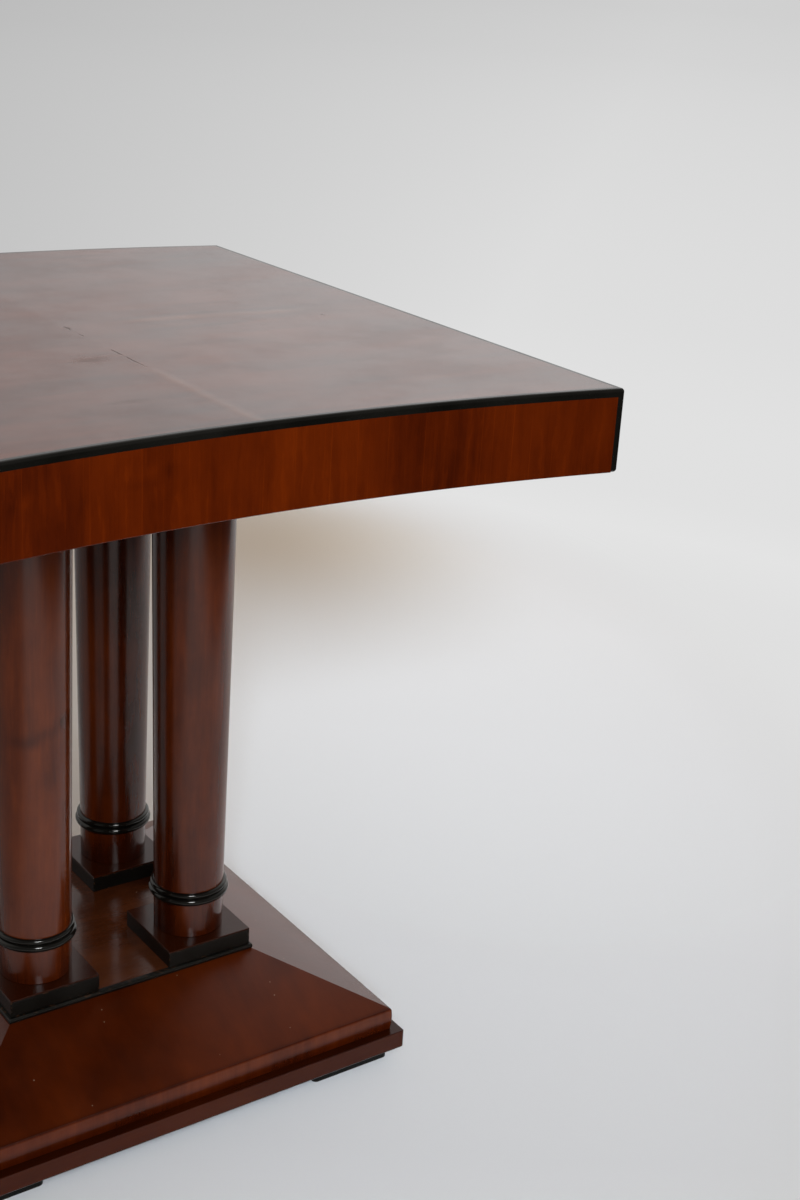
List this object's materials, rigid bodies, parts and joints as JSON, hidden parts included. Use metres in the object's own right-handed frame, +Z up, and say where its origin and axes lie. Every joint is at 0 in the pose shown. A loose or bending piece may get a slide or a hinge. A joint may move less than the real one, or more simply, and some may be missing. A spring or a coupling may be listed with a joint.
{
  "type": "side table",
  "caption": "Side table: a veneered top with a hollow-curved front, rounded back and black edging, on ringed tapering columns over a stepped, sloping square base.",
  "frame": {"origin": "on the floor under the middle of the table, which is the middle of its square base and of its bounding box", "axes": "+Z up, -Y towards the hollow front edge of the top, +X to the right as seen from the front"},
  "size_m": [0.664, 0.7103, 0.7],
  "materials": {
    "top_veneer": "polished, satin gloss",
    "apron_veneer": "polished, upright grain",
    "column_wood": "polished, satin gloss",
    "base_veneer": "polished, satin gloss",
    "black_wood": "ebonised, gloss",
    "core_board": "unfinished board"
  },
  "bodies": {
    "root": {"apron_back": "apron_veneer", "apron_front": "apron_veneer", "apron_left": "apron_veneer", "apron_right": "apron_veneer", "block_back_left": "black_wood", "block_back_right": "black_wood", "block_cap_back_left": "base_veneer", "block_cap_back_right": "base_veneer", "block_cap_front_left": "base_veneer", "block_cap_front_right": "base_veneer", "block_front_left": "black_wood", "block_front_right": "black_wood", "column_back_left": "column_wood", "column_back_right": "column_wood", "column_front_left": "column_wood", "column_front_right": "column_wood", "corner_strip_back_left": "black_wood", "corner_strip_back_right": "black_wood", "corner_strip_front_left": "black_wood", "corner_strip_front_right": "black_wood", "foot_back_left": "black_wood", "foot_back_right": "black_wood", "foot_front_left": "black_wood", "foot_front_right": "black_wood", "lipping_back": "black_wood", "lipping_front": "black_wood", "lipping_left": "black_wood", "lipping_right": "black_wood", "moulding_back": "base_veneer", "moulding_front": "base_veneer", "moulding_left": "base_veneer", "moulding_right": "base_veneer", "platform": "base_veneer", "platform_edge_back": "black_wood", "platform_edge_front": "black_wood", "platform_edge_left": "black_wood", "platform_edge_right": "black_wood", "plinth": "base_veneer", "ring_back_left": "black_wood", "ring_back_right": "black_wood", "ring_front_left": "black_wood", "ring_front_right": "black_wood", "slope_back": "base_veneer", "slope_front": "base_veneer", "slope_left": "base_veneer", "slope_right": "base_veneer", "top_panel": "core_board", "top_veneer_back_left": "top_veneer", "top_veneer_back_right": "top_veneer", "top_veneer_front_left": "top_veneer", "top_veneer_front_right": "top_veneer"}
  },
  "joints": []
}
